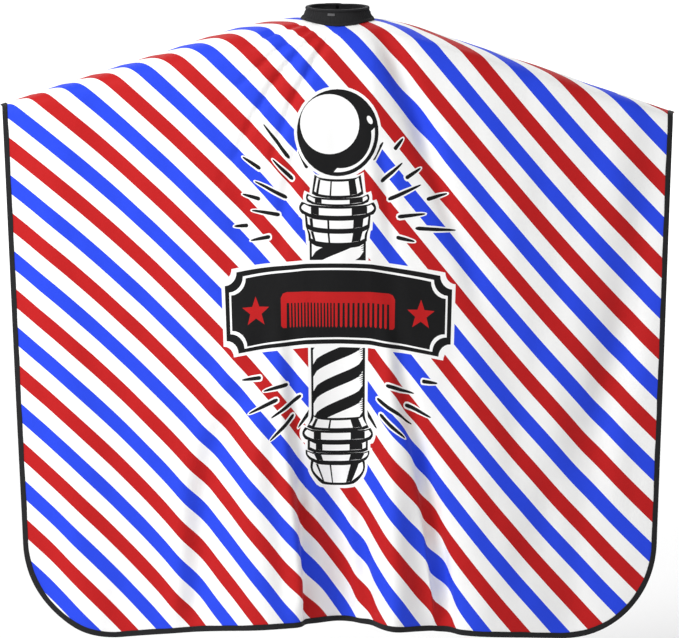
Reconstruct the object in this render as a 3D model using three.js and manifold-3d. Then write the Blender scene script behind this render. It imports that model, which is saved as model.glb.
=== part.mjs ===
// Barber cape: a printed cloth panel that hangs from a stand collar, bound with tape along its
// edges, and closed behind the neck by a tab with press studs.
// Millimetres, +Z up, +X to the viewer's right, +Y towards the wearer's back. The origin is the
// centre of the neck opening, level with the top of the shoulders.
import * as THREE from "three";
import { mergeVertices } from "three/addons/utils/BufferGeometryUtils.js";
import Module from "manifold-3d";

// ---- Driving dimensions ------------------------------------------------------------------------

// The cloth as it is cut, laid flat: u runs across it, v from the neck's centre to the front hem.
const panelWidth = 1400;
const frontLength = 1288;
const backLength = 392;
const frontCornerRadius = 200;
const backCornerRadius = 80;
const neckRadius = 74;
const neckFlat = 10; // the neck hole is this much flatter behind, where the collar closes
const slitWidth = 8;
const panelThickness = 1.6;

// How the cloth hangs: a ridge from the neck to each side edge, and a panel down from it.
const shoulderSpread = 0.966; // width taken up along the ridge, for each millimetre of cloth
// Each shoulder slopes from its start outwards, as its ridge wanders towards the front hem by shift.
// lean is how far its side edge leans in at the hem.
const leftShoulder = { start: 140, slope: 0.315, shift: 0.32, lean: 54 };
const rightShoulder = { start: 108, slope: 0.325, shift: 0.345, lean: 42 };
const ridgeShiftStart = 110;
const neckBend = 163; // cloth that turns from level to hanging, beside the neck
const edgeBend = 40; // and at the side edges
const bendOnset = 1.5; // 1 bends evenly, and more stays level for longer
const hangAngle = THREE.MathUtils.degToRad(86);
const backLean = THREE.MathUtils.degToRad(26);
const backLap = 3.5; // one slit edge stands behind the other by twice this

// The tape that is folded over the edges.
const tapeWidth = 10;
const tapeThickness = 1;
const tapeLip = 1; // the lips stop this far short of the line they are sewn along
const tapeGap = 0.8; // between the tape and the panel inside it
const fitGap = 0.4; // between other layers of cloth

// The collar.
const rimHeight = 24;
const rimTaper = 0.84; // the rim's size against the foot's
const footFlare = 1.5; // 1 is a straight cone, and more is a wider foot
const seamAllowance = 8; // panel cloth that is turned up inside the collar
const clothThickness = 1.2;
const elasticThickness = 1.5;
const elasticArc = THREE.MathUtils.degToRad(128);
const elasticFoot = 0.43; // share of the collar's height that the turned-up cloth keeps free
const rimTapeHeight = 4;
const footTapeHeight = 5;
const labelWidth = 14;
const labelMiddle = -12; // along the collar from its front, to the wearer's right
const labelHeight = 5;
const labelThickness = 0.8;
const labelFoot = 0.62; // share of the collar's height below the label

// The tab and its press studs.
const tabLength = 41;
const tabHeight = 22;
const tabLayer = 1;
const tabOpens = 2; // gap between the end of the band and the tab
const studPitch = 16;
const studCount = 5;
const firstStud = 13; // along the collar from the slit
const socketCount = 2;
const snap = {
  flange: 5,
  flangeThickness: 0.8,
  knob: 2.2,
  knobHeight: 1.2,
  bore: 2.7,
  socketRadius: 5.2,
  socketHeight: 1.8,
  socketBase: 0.5,
  shank: 1.2,
  hole: 1.7,
  hollow: 1.6, // room for a shank inside a stud or a socket
  cap: 6,
  capHeight: 1.5,
  postThickness: 0.7,
  sides: 12,
};
const snapGap = 0.5;

const neckBack = neckRadius - neckFlat;

// ---- Finishes ----------------------------------------------------------------------------------

const finish = (color, roughness, metalness = 0) =>
  new THREE.MeshStandardMaterial({ color, roughness, metalness, side: THREE.DoubleSide });
const printedCloth = finish(0xb8bdf2, 0.75);
const blackTape = finish(0x2a2a2a, 0.8);
const blackCloth = finish(0x262626, 0.85);
const elastic = finish(0x1c1c1c, 0.9);
const greyTag = finish(0xa8a8a8, 0.7);
const nickel = finish(0xb9bcc0, 0.3, 1);

// ---- How the cloth hangs -----------------------------------------------------------------------

const clamp = THREE.MathUtils.clamp;
const smooth = (x, from = 0, to = 1) => THREE.MathUtils.smoothstep(x, from, to);
const ramp = (x, softness) => 0.5 * (x + Math.hypot(x, softness)); // 0, then x, with a soft start
const bump = (x, width) => Math.exp(-((x / width) ** 2));

// The bend from level to hanging, for a bend one unit long: forward and down at each fraction.
const bendSteps = 64;
const bendTable = [[0, 0]];
for (let i = 1; i <= bendSteps; i += 1) {
  const angle = hangAngle * smooth((i - 0.5) / bendSteps) ** bendOnset;
  const [forward, down] = bendTable[i - 1];
  bendTable.push([forward + Math.cos(angle) / bendSteps, down + Math.sin(angle) / bendSteps]);
}

// How far forward and down cloth lies, a length t past a ridge whose bend takes the length bend.
function hang(t, bend) {
  const at = clamp(t / bend, 0, 1) * bendSteps;
  const low = Math.min(Math.floor(at), bendSteps - 1);
  const [a, b] = [bendTable[low], bendTable[low + 1]];
  const past = Math.max(t - bend, 0);
  return {
    forward: THREE.MathUtils.lerp(a[0], b[0], at - low) * bend + past * Math.cos(hangAngle),
    down: THREE.MathUtils.lerp(a[1], b[1], at - low) * bend + past * Math.sin(hangAngle),
  };
}

// The ridge over the shoulders, at u across the cloth.
function ridge(u) {
  const across = Math.abs(u);
  const { start, slope, shift, lean } = u < 0 ? leftShoulder : rightShoulder;
  const outer = clamp((across - neckRadius) / (panelWidth / 2 - neckRadius), 0, 1.1);
  return {
    x: shoulderSpread * u,
    z: -slope * (ramp(across - start, 60) - ramp(-start, 60)),
    shift: shift * (ramp(across - ridgeShiftStart, 50) - ramp(-ridgeShiftStart, 50)),
    lean,
    bend: THREE.MathUtils.lerp(neckBend, edgeBend, outer),
  };
}

// Depth of the folds in the front, positive towards the wearer. Each has its line down the cloth,
// from (u, v) to (u, v), its width, and its depth at the two ends.
const frontFolds = [
  { from: [0, 620], to: [5, frontLength], width: 88, depth: [0, 74] }, // hollow between the knees
  { from: [-215, 500], to: [-190, frontLength], width: 95, depth: [0, -30] }, // left knee
  { from: [120, 560], to: [135, frontLength], width: 42, depth: [0, -34] }, // ridge beside the hollow
  { from: [122, 640], to: [236, frontLength], width: 34, depth: [4, 24] }, // crease right of the middle
  { from: [330, 500], to: [330, frontLength], width: 100, depth: [0, -26] }, // right knee
  { from: [110, 130], to: [290, 560], width: 30, depth: [16, 4] }, // crease from the collar
  { from: [640, 400], to: [540, 1100], width: 38, depth: [10, 6] }, // drag line near the right edge
  { from: [-600, 330], to: [-585, frontLength], width: 60, depth: [-6, -16] }, // wave near the left edge
];
function frontDepth(u, v) {
  let depth = 0;
  for (const { from, to, width, depth: ends } of frontFolds) {
    const along = (v - from[1]) / (to[1] - from[1]);
    const line = THREE.MathUtils.lerp(from[0], to[0], along);
    const held = smooth(along, -0.25, 0.15) * (1 - smooth(along, 1.05, 1.6));
    depth += held * THREE.MathUtils.lerp(ends[0], ends[1], clamp(along, 0, 1)) * bump(u - line, width);
  }
  return depth;
}

// The back falls in even waves, deeper towards its hem.
const backWave = 230;
const backWaveDepth = 20;
function backDepth(u, down) {
  const phase = (2 * Math.PI * (Math.abs(u) - 20)) / backWave;
  return backWaveDepth * smooth(down, 20, 520) * Math.cos(phase) * smooth(Math.abs(u), 0, 90);
}

// The place of the cloth's middle surface, at (u, v) of the flat cloth.
function drape(u, v) {
  const r = ridge(u);
  const across = Math.abs(u) / (panelWidth / 2);
  if (v >= r.shift) {
    const { forward, down } = hang(v - r.shift, r.bend);
    const fallen = clamp((v - 100) / (frontLength - 100), 0, 1.05);
    const x = r.x - r.lean * fallen * Math.tanh(u / 280);
    return new THREE.Vector3(x, -forward + frontDepth(u, v), r.z - down);
  }
  const { forward, down } = hang(r.shift - v, r.bend);
  const lean = backLean * smooth(across, 0, 1.05);
  const lap = -Math.sign(u) * backLap * bump(u, 90) * smooth(-v, 0, 50);
  const x = r.x - Math.sign(u) * Math.sin(lean) * down;
  return new THREE.Vector3(x, forward + lap + backDepth(u, down), r.z - Math.cos(lean) * down);
}

// The direction that the outer face of the cloth looks in.
function drapeNormal(u, v) {
  const step = 1.5;
  const side = u < 0 ? -1 : 1; // stays on its own side of the slit
  const near = Math.abs(u) < step ? 0 : step;
  const alongU = drape(u + step, v).sub(drape(u - near, v));
  if (near === 0) alongU.copy(drape(u + side * step, v)).sub(drape(u, v)).multiplyScalar(side);
  const alongV = drape(u, v + step).sub(drape(u, v - step));
  return alongV.cross(alongU).normalize();
}

// ---- Solids from grids and sections ------------------------------------------------------------

const wasm = await Module();
wasm.setup();

function toSolid(geometry) {
  const bare = geometry.clone();
  bare.deleteAttribute("normal");
  bare.deleteAttribute("uv");
  const merged = mergeVertices(bare, 1e-3);
  return new wasm.Manifold(
    new wasm.Mesh({
      numProp: 3,
      vertProperties: new Float32Array(merged.attributes.position.array),
      triVerts: new Uint32Array(merged.index.array),
    }),
  );
}

function toGeometry(solid) {
  const mesh = solid.getMesh();
  const g = new THREE.BufferGeometry();
  g.setAttribute("position", new THREE.BufferAttribute(mesh.vertProperties, mesh.numProp));
  g.setIndex(new THREE.BufferAttribute(mesh.triVerts, 1));
  g.computeVertexNormals();
  return g;
}

// A closed skin of points and faces, turned so that its faces point outwards.
class Skin {
  constructor() {
    this.points = [];
    this.faces = [];
  }
  add(point) {
    return this.points.push(point) - 1;
  }
  quad(a, b, c, d) {
    this.faces.push(a, b, c, a, c, d);
  }
  geometry() {
    let volume = 0;
    for (let i = 0; i < this.faces.length; i += 3) {
      const [a, b, c] = this.faces.slice(i, i + 3).map((j) => this.points[j]);
      volume += a.dot(b.clone().cross(c));
    }
    const faces = volume < 0 ? [...this.faces].reverse() : this.faces;
    const g = new THREE.BufferGeometry().setFromPoints(this.points);
    g.setIndex(faces);
    g.computeVertexNormals();
    return g;
  }
}

// A sheet with thickness, from a grid of places: grid[i][k] is { p, n }, a point and its normal.
// Both faces are split along the same diagonals, so they never meet where the sheet is twisted.
function sheet(grid, thickness) {
  const skin = new Skin();
  const lift = ({ p, n }, height) => skin.add(p.clone().addScaledVector(n, height));
  const top = grid.map((row) => row.map((place) => lift(place, thickness / 2)));
  const under = grid.map((row) => row.map((place) => lift(place, -thickness / 2)));
  const [last, end] = [grid.length - 1, grid[0].length - 1];
  for (let i = 0; i < last; i += 1) {
    for (let k = 0; k < end; k += 1) {
      skin.quad(top[i][k], top[i + 1][k], top[i + 1][k + 1], top[i][k + 1]);
      skin.quad(under[i][k], under[i][k + 1], under[i + 1][k + 1], under[i + 1][k]);
    }
    skin.quad(top[i + 1][0], top[i][0], under[i][0], under[i + 1][0]);
    skin.quad(top[i][end], top[i + 1][end], under[i + 1][end], under[i][end]);
  }
  for (let k = 0; k < end; k += 1) {
    skin.quad(top[0][k], top[0][k + 1], under[0][k + 1], under[0][k]);
    skin.quad(top[last][k + 1], top[last][k], under[last][k], under[last][k + 1]);
  }
  return skin.geometry();
}

// A section swept through a row of its copies. caps lists the quads that close an end, and crossed
// the sides whose quads are split along their other diagonal.
function sweep(sections, caps, crossed = []) {
  const skin = new Skin();
  const rings = sections.map((section) => section.map((point) => skin.add(point)));
  const sides = rings[0].length;
  for (let i = 0; i + 1 < rings.length; i += 1)
    for (let s = 0; s < sides; s += 1) {
      const next = (s + 1) % sides;
      const corners = [rings[i][s], rings[i][next], rings[i + 1][next], rings[i + 1][s]];
      if (crossed.includes(s)) corners.push(corners.shift());
      skin.quad(...corners);
    }
  const [first, last] = [rings[0], rings[rings.length - 1]];
  for (const [a, b, c, d] of caps) {
    skin.quad(first[d], first[c], first[b], first[a]);
    skin.quad(last[a], last[b], last[c], last[d]);
  }
  return skin.geometry();
}

// A channel folded over an edge has its eight corners in this order: the outside from one lip round
// to the other, then the inside back. Its sides are split as the sheet inside it is.
const channelCaps = [
  [0, 1, 6, 7],
  [1, 2, 5, 6],
  [2, 3, 4, 5],
];
const channelCrossed = [2, 6];

// Folded tape over an edge: each place on the edge is paired with the place one tape width in.
function foldedTape(pairs, thickness) {
  const inside = thickness / 2 + tapeGap;
  const outside = inside + tapeThickness;
  const sections = pairs.map(([rim, inner]) => {
    const out = rim.p.clone().sub(inner.p).normalize();
    const at = (place, past, lift) =>
      place.p.clone().addScaledVector(out, past).addScaledVector(place.n, lift);
    const reach = tapeGap + tapeThickness;
    return [
      at(inner, tapeLip, outside),
      at(rim, reach, outside),
      at(rim, reach, -outside),
      at(inner, tapeLip, -outside),
      at(inner, tapeLip, -inside),
      at(rim, tapeGap, -inside),
      at(rim, tapeGap, inside),
      at(inner, tapeLip, inside),
    ];
  });
  return sweep(sections, channelCaps, channelCrossed);
}

const between = (a, b, share) => ({
  p: a.p.clone().lerp(b.p, share),
  n: a.n.clone().lerp(b.n, share).normalize(),
});

// ---- The panel and its edge tape ---------------------------------------------------------------

// Points along a straight stretch, without its end.
const stretch = (from, to, steps) =>
  Array.from({ length: steps }, (_, i) => [
    THREE.MathUtils.lerp(from[0], to[0], i / steps),
    THREE.MathUtils.lerp(from[1], to[1], i / steps),
  ]);

// Points round a quarter turn of the left side's outline, without its end.
const quarter = (centre, radius, start, steps) =>
  Array.from({ length: steps }, (_, i) => {
    const angle = start + (Math.PI / 2) * (i / steps);
    return [centre[0] - radius * Math.cos(angle), centre[1] + radius * Math.sin(angle)];
  });

// The flat cloth's outline, or one inset from it, from the slit round the left side, the front hem
// and the right side to the slit again.
function outline(inset) {
  const sideU = -panelWidth / 2 + inset;
  const backV = -backLength + inset;
  const frontV = frontLength - inset;
  const backCorner = [-panelWidth / 2 + backCornerRadius, -backLength + backCornerRadius];
  const frontCorner = [-panelWidth / 2 + frontCornerRadius, frontLength - frontCornerRadius];
  const ridgeV = ridge(panelWidth / 2).shift;
  const fold = edgeBend + 5; // the stretch on each side of the ridge that bends
  const left = [
    [-slitWidth / 2, backV],
    ...stretch([-slitWidth / 2 - tapeWidth, backV], [backCorner[0], backV], 14),
    ...quarter(backCorner, backCornerRadius - inset, -Math.PI / 2, 3),
    ...stretch([sideU, backCorner[1]], [sideU, ridgeV - fold], 5),
    ...stretch([sideU, ridgeV - fold], [sideU, ridgeV + fold], 6),
    ...stretch([sideU, ridgeV + fold], [sideU, frontCorner[1]], 7),
    ...quarter(frontCorner, frontCornerRadius - inset, 0, 4),
    ...stretch([frontCorner[0], frontV], [0, frontV], 11),
  ];
  const right = left.map(([u, v]) => [-u, v]).reverse();
  return [...left, [0, frontV], ...right];
}

// The neck hole at an angle from the front: a circle that is flatter behind, where it closes.
function neckReach(angle) {
  const power = 14;
  const flat = Math.max(-Math.cos(angle), 0) / neckBack;
  return (neckRadius ** -power + flat ** power) ** (-1 / power);
}
const neckPoint = (angle, extra = 0) => [
  (neckReach(angle) + extra) * Math.sin(angle),
  (neckReach(angle) + extra) * Math.cos(angle),
];
const backAngle = (u) => Math.PI - Math.asin(u / neckBack); // where the hole is u from the slit
const slitAngle = backAngle(slitWidth / 2);
const tapeAngle = backAngle(slitWidth / 2 + tapeWidth);

const place = ([u, v]) => ({ p: drape(u, v), n: drapeNormal(u, v) });

// The collar's middle surface: from its foot on the neck hole, up and in to its level rim.
// share runs from 0 at the foot to 1 at the rim, and offset is outwards in plan.
function collarPoint(angle, share, offset = 0) {
  const foot = drape(...neckPoint(angle));
  const turn = angle < 0 ? 0.01 : -0.01;
  const along = drape(...neckPoint(angle + turn)).sub(foot).multiplyScalar(Math.sign(turn));
  const outwards = new THREE.Vector3(along.y, -along.x, 0).normalize();
  const size = rimTaper + (1 - rimTaper) * (1 - share) ** footFlare;
  const z = THREE.MathUtils.lerp(foot.z, rimHeight, share);
  return new THREE.Vector3(foot.x * size, foot.y * size, z).addScaledVector(outwards, offset);
}
const collarHeight = (angle) => rimHeight - drape(...neckPoint(angle)).z;

const edge = outline(0);
const inner = outline(tapeWidth);
const widest = Math.atan2(edge[1][0], edge[1][1]);
const ringCount = 10;

// The panel's places, one row for each point of the outline, from inside the collar to the edge.
const panelGrid = edge.map((rim, i) => {
  const end = i === 0 || i === edge.length - 1;
  const turned = (Math.atan2(rim[0], rim[1]) * tapeAngle) / Math.abs(widest);
  const angle = end ? Math.sign(rim[0]) * slitAngle : turned;
  const outwards = collarPoint(angle, 0, 1).sub(collarPoint(angle, 0, 0));
  const foot = place(neckPoint(angle));
  foot.n.add(outwards).normalize();
  const turnedUp = {
    p: collarPoint(angle, seamAllowance / collarHeight(angle)),
    n: outwards,
  };
  const start = end ? [rim[0], neckPoint(angle, tapeWidth)[1]] : neckPoint(angle, tapeWidth);
  const across = Array.from({ length: ringCount + 1 }, (_, k) => {
    const share = (k / ringCount) ** 1.35;
    return place([
      THREE.MathUtils.lerp(start[0], inner[i][0], share),
      THREE.MathUtils.lerp(start[1], inner[i][1], share),
    ]);
  });
  return [turnedUp, foot, ...across, place(rim)];
});
const firstRing = 2;
const insetRing = firstRing + ringCount;

const capePanel = sheet(panelGrid, panelThickness);
const edgeBinding = foldedTape(
  panelGrid.map((row) => [row[insetRing + 1], row[insetRing]]),
  panelThickness,
);

// Tape on one edge of the slit, from just below the collar to the hem's own tape.
function slitBinding(rimRow, innerRow) {
  const pairs = [];
  for (let k = firstRing; k < insetRing; k += 1) pairs.push([rimRow[k], innerRow[k]]);
  const lastStep = rimRow[insetRing].p.distanceTo(rimRow[insetRing - 1].p);
  const stop = 1 - (2 * fitGap) / lastStep;
  pairs.push([
    between(rimRow[insetRing - 1], rimRow[insetRing], stop),
    between(innerRow[insetRing - 1], innerRow[insetRing], stop),
  ]);
  return foldedTape(pairs, panelThickness);
}
const rows = panelGrid.length;
const slitBindingLeft = slitBinding(panelGrid[0], panelGrid[1]);
const slitBindingRight = slitBinding(panelGrid[rows - 1], panelGrid[rows - 2]);

// ---- The collar --------------------------------------------------------------------------------

const layerGap = 0.7; // round the turned-up cloth, which bends more sharply than the collar
const bandInside = panelThickness / 2 + layerGap;
const bandOutside = bandInside + clothThickness;
const collarSections = 36;
const collarAngles = (from, to) =>
  Array.from(
    { length: collarSections + 1 },
    (_, i) => THREE.MathUtils.lerp(from, to, i / collarSections),
  );
const bends = [0.35, 0.7]; // heights at which every layer of the collar bends

// One section of a layer of the collar's wall: up its outside and down its inside.
function wallSection(angle, from, to, offsetIn, offsetOut) {
  const shares = [from, ...bends.filter((share) => share > from && share < to), to];
  return [
    ...shares.map((share) => collarPoint(angle, share, offsetOut)),
    ...shares.reverse().map((share) => collarPoint(angle, share, offsetIn)),
  ];
}
const wallCaps = (count) =>
  Array.from({ length: count / 2 - 1 }, (_, i) => [i, i + 1, count - 2 - i, count - 1 - i]);

// A layer of the wall between two heights, each given as a share of the collar at each angle.
function wall(angles, low, high, offsetIn, offsetOut) {
  const sections = angles.map((angle) =>
    wallSection(angle, low(angle), high(angle), offsetIn, offsetOut),
  );
  return sweep(sections, wallCaps(sections[0].length));
}
const above = (height) => (angle) => height / collarHeight(angle);
const below = (height) => (angle) => 1 - height / collarHeight(angle);

const wallFoot = panelThickness / 2 + 2 * fitGap; // clear of the panel at the collar's foot
const wallTop = tapeThickness + fitGap;
const ring = collarAngles(-slitAngle, slitAngle);

// The places of the press studs along the collar's right end, counted from the slit.
const studDistances = Array.from({ length: studCount }, (_, i) => firstStud + i * studPitch);
const angleAlong = (distance) => {
  let [angle, walked] = [slitAngle, 0];
  const turn = 0.002;
  while (walked < distance) {
    walked += collarPoint(angle, 0.5, bandOutside).distanceTo(
      collarPoint(angle - turn, 0.5, bandOutside),
    );
    angle -= turn;
  }
  return angle;
};
// A frame on the collar's outer face whose Y axis looks out of the face.
function faceFrame(distance) {
  const angle = angleAlong(distance);
  const origin = collarPoint(angle, 0.5, bandOutside);
  const along = collarPoint(angle - 0.02, 0.5, bandOutside).sub(
    collarPoint(angle + 0.02, 0.5, bandOutside),
  );
  const up = collarPoint(angle, 0.6, bandOutside).sub(collarPoint(angle, 0.4, bandOutside));
  along.normalize();
  const out = up.clone().cross(along).normalize();
  if (out.dot(origin) < 0) out.negate();
  const cross = along.clone().cross(out).normalize();
  return new THREE.Matrix4().makeBasis(along, out, cross).setPosition(origin);
}
const studFrames = studDistances.map(faceFrame);

// Round holes through a layer, at some of the frames.
function pierce(geometry, frames) {
  let solid = toSolid(geometry);
  for (const frame of frames) {
    const drill = new THREE.CylinderGeometry(snap.hole, snap.hole, 24, snap.sides);
    solid = solid.subtract(toSolid(drill.applyMatrix4(frame)));
  }
  return toGeometry(solid);
}

const collarBand = pierce(
  wall(ring, above(wallFoot), below(wallTop), bandInside, bandOutside),
  studFrames,
);
const collarLining = pierce(
  wall(ring, above(-wallFoot), below(wallTop), -bandOutside, -bandInside),
  studFrames,
);
const lastStud = angleAlong(studDistances[studCount - 1] + 2 * snap.flange);
const collarElastic = wall(
  collarAngles(-elasticArc, Math.min(elasticArc, lastStud)),
  () => elasticFoot,
  below(wallTop + fitGap),
  -elasticThickness / 2,
  elasticThickness / 2,
);
const footTape = wall(
  ring,
  above(wallFoot),
  above(wallFoot + footTapeHeight),
  bandOutside + layerGap,
  bandOutside + layerGap + tapeThickness,
);
const collarLabel = wall(
  [-1, 0, 1].map((side) => (labelMiddle + (side * labelWidth) / 2) / neckRadius / rimTaper),
  () => labelFoot,
  () => labelFoot + labelHeight / collarHeight(0),
  bandOutside + fitGap,
  bandOutside + fitGap + labelThickness,
);

// Tape folded over the rim. Its top is flat and level.
const rimTape = sweep(
  ring.map((angle) => {
    const foot = below(rimTapeHeight)(angle);
    const under = below(tapeThickness)(angle);
    const [near, far] = [bandOutside + fitGap, bandOutside + fitGap + tapeThickness];
    return [
      collarPoint(angle, foot, far),
      collarPoint(angle, 1, far),
      collarPoint(angle, 1, -far),
      collarPoint(angle, foot, -far),
      collarPoint(angle, foot, -near),
      collarPoint(angle, under, -near),
      collarPoint(angle, under, near),
      collarPoint(angle, foot, near),
    ];
  }),
  channelCaps,
  channelCrossed,
);

// ---- The closure tab and the press studs -------------------------------------------------------

// Distances outwards from the collar's outer face, through a closed press stud.
const studTop = snapGap + snap.flangeThickness;
const socketFrom = studTop + snapGap;
const socketTo = socketFrom + snap.socketHeight;
const tabFrom = bandOutside + socketTo + 2 * snapGap;
const tabTo = tabFrom + 2 * tabLayer + fitGap;
const tabStart = -slitWidth + tabOpens; // from the slit's right edge back to its left edge

// A layer of the tab: it lies along the collar's right end, and straight across the slit.
function tabLayerAt(from, to) {
  const firstStep = 4;
  const steps = 6;
  const sections = Array.from({ length: steps + 1 }, (_, i) => {
    const angle = angleAlong(THREE.MathUtils.lerp(firstStep, tabLength, i / steps));
    const half = tabHeight / 2 / collarHeight(angle);
    return wallSection(angle, 0.5 - half, 0.5 + half, from, to);
  });
  const [near, next] = sections;
  const root = near.map((point, i) => {
    const back = point.clone().sub(next[i]).normalize();
    return point.clone().addScaledVector(back, firstStep - tabStart);
  });
  return sweep([root, ...sections], wallCaps(root.length));
}
const tabFrames = studFrames.slice(0, socketCount);
const tabInner = pierce(tabLayerAt(tabFrom, tabFrom + tabLayer), tabFrames);
const tabOuter = pierce(tabLayerAt(tabTo - tabLayer, tabTo), tabFrames);

// A turned piece of a press stud. Its profile is [radius, distance out of the collar's face].
const turned = (profile) =>
  new THREE.LatheGeometry(
    profile.map(([radius, out]) => new THREE.Vector2(radius, out)),
    snap.sides,
  );
const knobTop = studTop + snap.knobHeight;
const stud = turned([
  [0, studTop + fitGap],
  [snap.hollow, studTop + fitGap],
  [snap.hollow, snapGap],
  [snap.flange, snapGap],
  [snap.flange, snapGap + 0.5],
  [snap.flange - 0.7, studTop],
  [snap.knob - 0.3, studTop],
  [snap.knob, studTop + 0.6],
  [snap.knob - 0.2, knobTop],
  [0, knobTop],
]);
const postFace = -2 * bandOutside - snapGap;
const post = turned([
  [0, postFace - snap.postThickness],
  [snap.flange - 0.6, postFace - snap.postThickness],
  [snap.flange - 0.2, postFace],
  [snap.shank, postFace],
  [snap.shank, studTop],
  [0, studTop],
]);
const socketInside = socketTo - snap.socketBase;
const socket = turned([
  [snap.hollow, socketTo],
  [snap.hollow, socketInside],
  [snap.bore, socketInside],
  [snap.bore, socketFrom],
  [snap.socketRadius - 1, socketFrom],
  [snap.socketRadius, socketFrom + 0.6],
  [snap.socketRadius, socketTo],
  [snap.hollow, socketTo],
]);
const capFace = tabTo - bandOutside + snapGap;
const cap = turned([
  [0, socketInside + 0.1],
  [snap.shank, socketInside + 0.1],
  [snap.shank, capFace],
  [snap.cap, capFace],
  [snap.cap, capFace + 0.4],
  [snap.cap * 0.75, capFace + snap.capHeight - 0.3],
  [snap.cap * 0.4, capFace + snap.capHeight],
  [0, capFace + snap.capHeight],
]);

// ---- The assembly ------------------------------------------------------------------------------

const cape = new THREE.Group();
function part(name, geometry, material, frame) {
  const mesh = new THREE.Mesh(geometry, material);
  mesh.name = name;
  if (frame) mesh.applyMatrix4(frame);
  cape.add(mesh);
}
part("cape_panel", capePanel, printedCloth);
part("edge_binding", edgeBinding, blackTape);
part("slit_binding_left", slitBindingLeft, blackTape);
part("slit_binding_right", slitBindingRight, blackTape);
part("collar_band", collarBand, blackCloth);
part("collar_lining", collarLining, blackCloth);
part("collar_elastic", collarElastic, elastic);
part("collar_top_binding", rimTape, blackTape);
part("neck_seam_tape", footTape, blackTape);
part("collar_label", collarLabel, greyTag);
part("closure_tab_inner", tabInner, blackCloth);
part("closure_tab_outer", tabOuter, blackCloth);
studFrames.forEach((frame, i) => {
  part(`snap_stud_${i + 1}`, stud, nickel, frame);
  part(`snap_post_${i + 1}`, post, nickel, frame);
});
tabFrames.forEach((frame, i) => {
  part(`tab_snap_socket_${i + 1}`, socket, nickel, frame);
  part(`tab_snap_cap_${i + 1}`, cap, nickel, frame);
});

export default cape;
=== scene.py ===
import math

import bpy
import numpy as np
from mathutils import Matrix, Vector
from mathutils.geometry import delaunay_2d_cdt
from mathutils.kdtree import KDTree


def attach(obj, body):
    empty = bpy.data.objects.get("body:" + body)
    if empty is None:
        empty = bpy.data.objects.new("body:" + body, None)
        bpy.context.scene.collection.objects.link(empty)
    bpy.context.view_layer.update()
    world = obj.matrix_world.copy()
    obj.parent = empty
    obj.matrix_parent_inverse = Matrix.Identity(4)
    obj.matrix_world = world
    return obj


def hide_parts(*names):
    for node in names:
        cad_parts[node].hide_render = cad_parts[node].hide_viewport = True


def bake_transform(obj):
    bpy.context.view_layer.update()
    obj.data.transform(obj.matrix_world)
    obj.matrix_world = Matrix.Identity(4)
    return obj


# A barber cape: a printed cloth panel hung from a gathered stand collar, with taped edges and a
# press-stud strap behind the neck. Lengths are in millimetres until a mesh is made in metres.

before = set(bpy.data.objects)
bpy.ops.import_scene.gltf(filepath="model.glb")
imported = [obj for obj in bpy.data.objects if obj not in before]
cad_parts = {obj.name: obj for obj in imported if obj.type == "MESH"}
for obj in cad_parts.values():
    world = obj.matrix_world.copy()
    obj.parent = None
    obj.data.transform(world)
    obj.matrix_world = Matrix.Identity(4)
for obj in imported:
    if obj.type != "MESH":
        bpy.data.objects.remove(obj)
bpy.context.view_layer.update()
MM = 0.001

# ---- The cloth's cut, and how it hangs ----------------------------------------------------------

PANEL_WIDTH = 1400.0
FRONT_LENGTH = 1288.0
BACK_LENGTH = 392.0
FRONT_CORNER = 200.0
BACK_CORNER = 80.0
NECK_RADIUS = 74.0
NECK_BACK = 64.0
SLIT_HALF = 4.0
TAPE_WIDTH = 10.0
CLOTH_THICKNESS = 0.5

BEND_STEPS = 64
HANG_ANGLE = math.radians(86)


def smooth(x, start=0.0, end=1.0):
    """0 up to start and 1 from end on, with a soft step between."""
    t = np.clip((x - start) / (end - start), 0.0, 1.0)
    return t * t * (3 - 2 * t)


def ramp(x, softness):
    """About 0 below 0 and about x above it, with a soft corner."""
    return 0.5 * (x + np.hypot(x, softness))


def bump(x, width):
    return np.exp(-((x / width) ** 2))


def lerp(a, b, t):
    return a + (b - a) * t


bend_angles = HANG_ANGLE * smooth((np.arange(1, BEND_STEPS + 1) - 0.5) / BEND_STEPS) ** 1.5
bend_forward = np.concatenate([[0.0], np.cumsum(np.cos(bend_angles))]) / BEND_STEPS
bend_down = np.concatenate([[0.0], np.cumsum(np.sin(bend_angles))]) / BEND_STEPS


def hang(t, bend):
    """How far forward and down cloth lies, a length t past the ridge it hangs from."""
    at = np.clip(t / bend, 0, 1)
    steps = np.linspace(0, 1, BEND_STEPS + 1)
    past = np.maximum(t - bend, 0)
    forward = np.interp(at, steps, bend_forward) * bend + past * math.cos(HANG_ANGLE)
    down = np.interp(at, steps, bend_down) * bend + past * math.sin(HANG_ANGLE)
    return forward, down


# Folds in the front: where each starts and ends on the flat cloth, width, depth at the two ends.
FRONT_FOLDS = [
    ((0, 620), (5, FRONT_LENGTH), 88, (0, 74)),
    ((-215, 500), (-190, FRONT_LENGTH), 95, (0, -30)),
    ((120, 560), (135, FRONT_LENGTH), 42, (0, -34)),
    ((122, 640), (236, FRONT_LENGTH), 34, (4, 24)),
    ((330, 500), (330, FRONT_LENGTH), 100, (0, -26)),
    ((110, 130), (290, 560), 30, (16, 4)),
    ((640, 400), (540, 1100), 38, (10, 6)),
    ((-600, 330), (-585, FRONT_LENGTH), 60, (-6, -16)),
]


def fold_depth(u, v, folds):
    depth = np.zeros_like(u)
    for start, end, width, ends in folds:
        along = (v - start[1]) / (end[1] - start[1])
        line = lerp(start[0], end[0], along)
        held = smooth(along, -0.25, 0.15) * (1 - smooth(along, 1.05, 1.6))
        depth = depth + held * lerp(ends[0], ends[1], np.clip(along, 0, 1)) * bump(u - line, width)
    return depth


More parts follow.
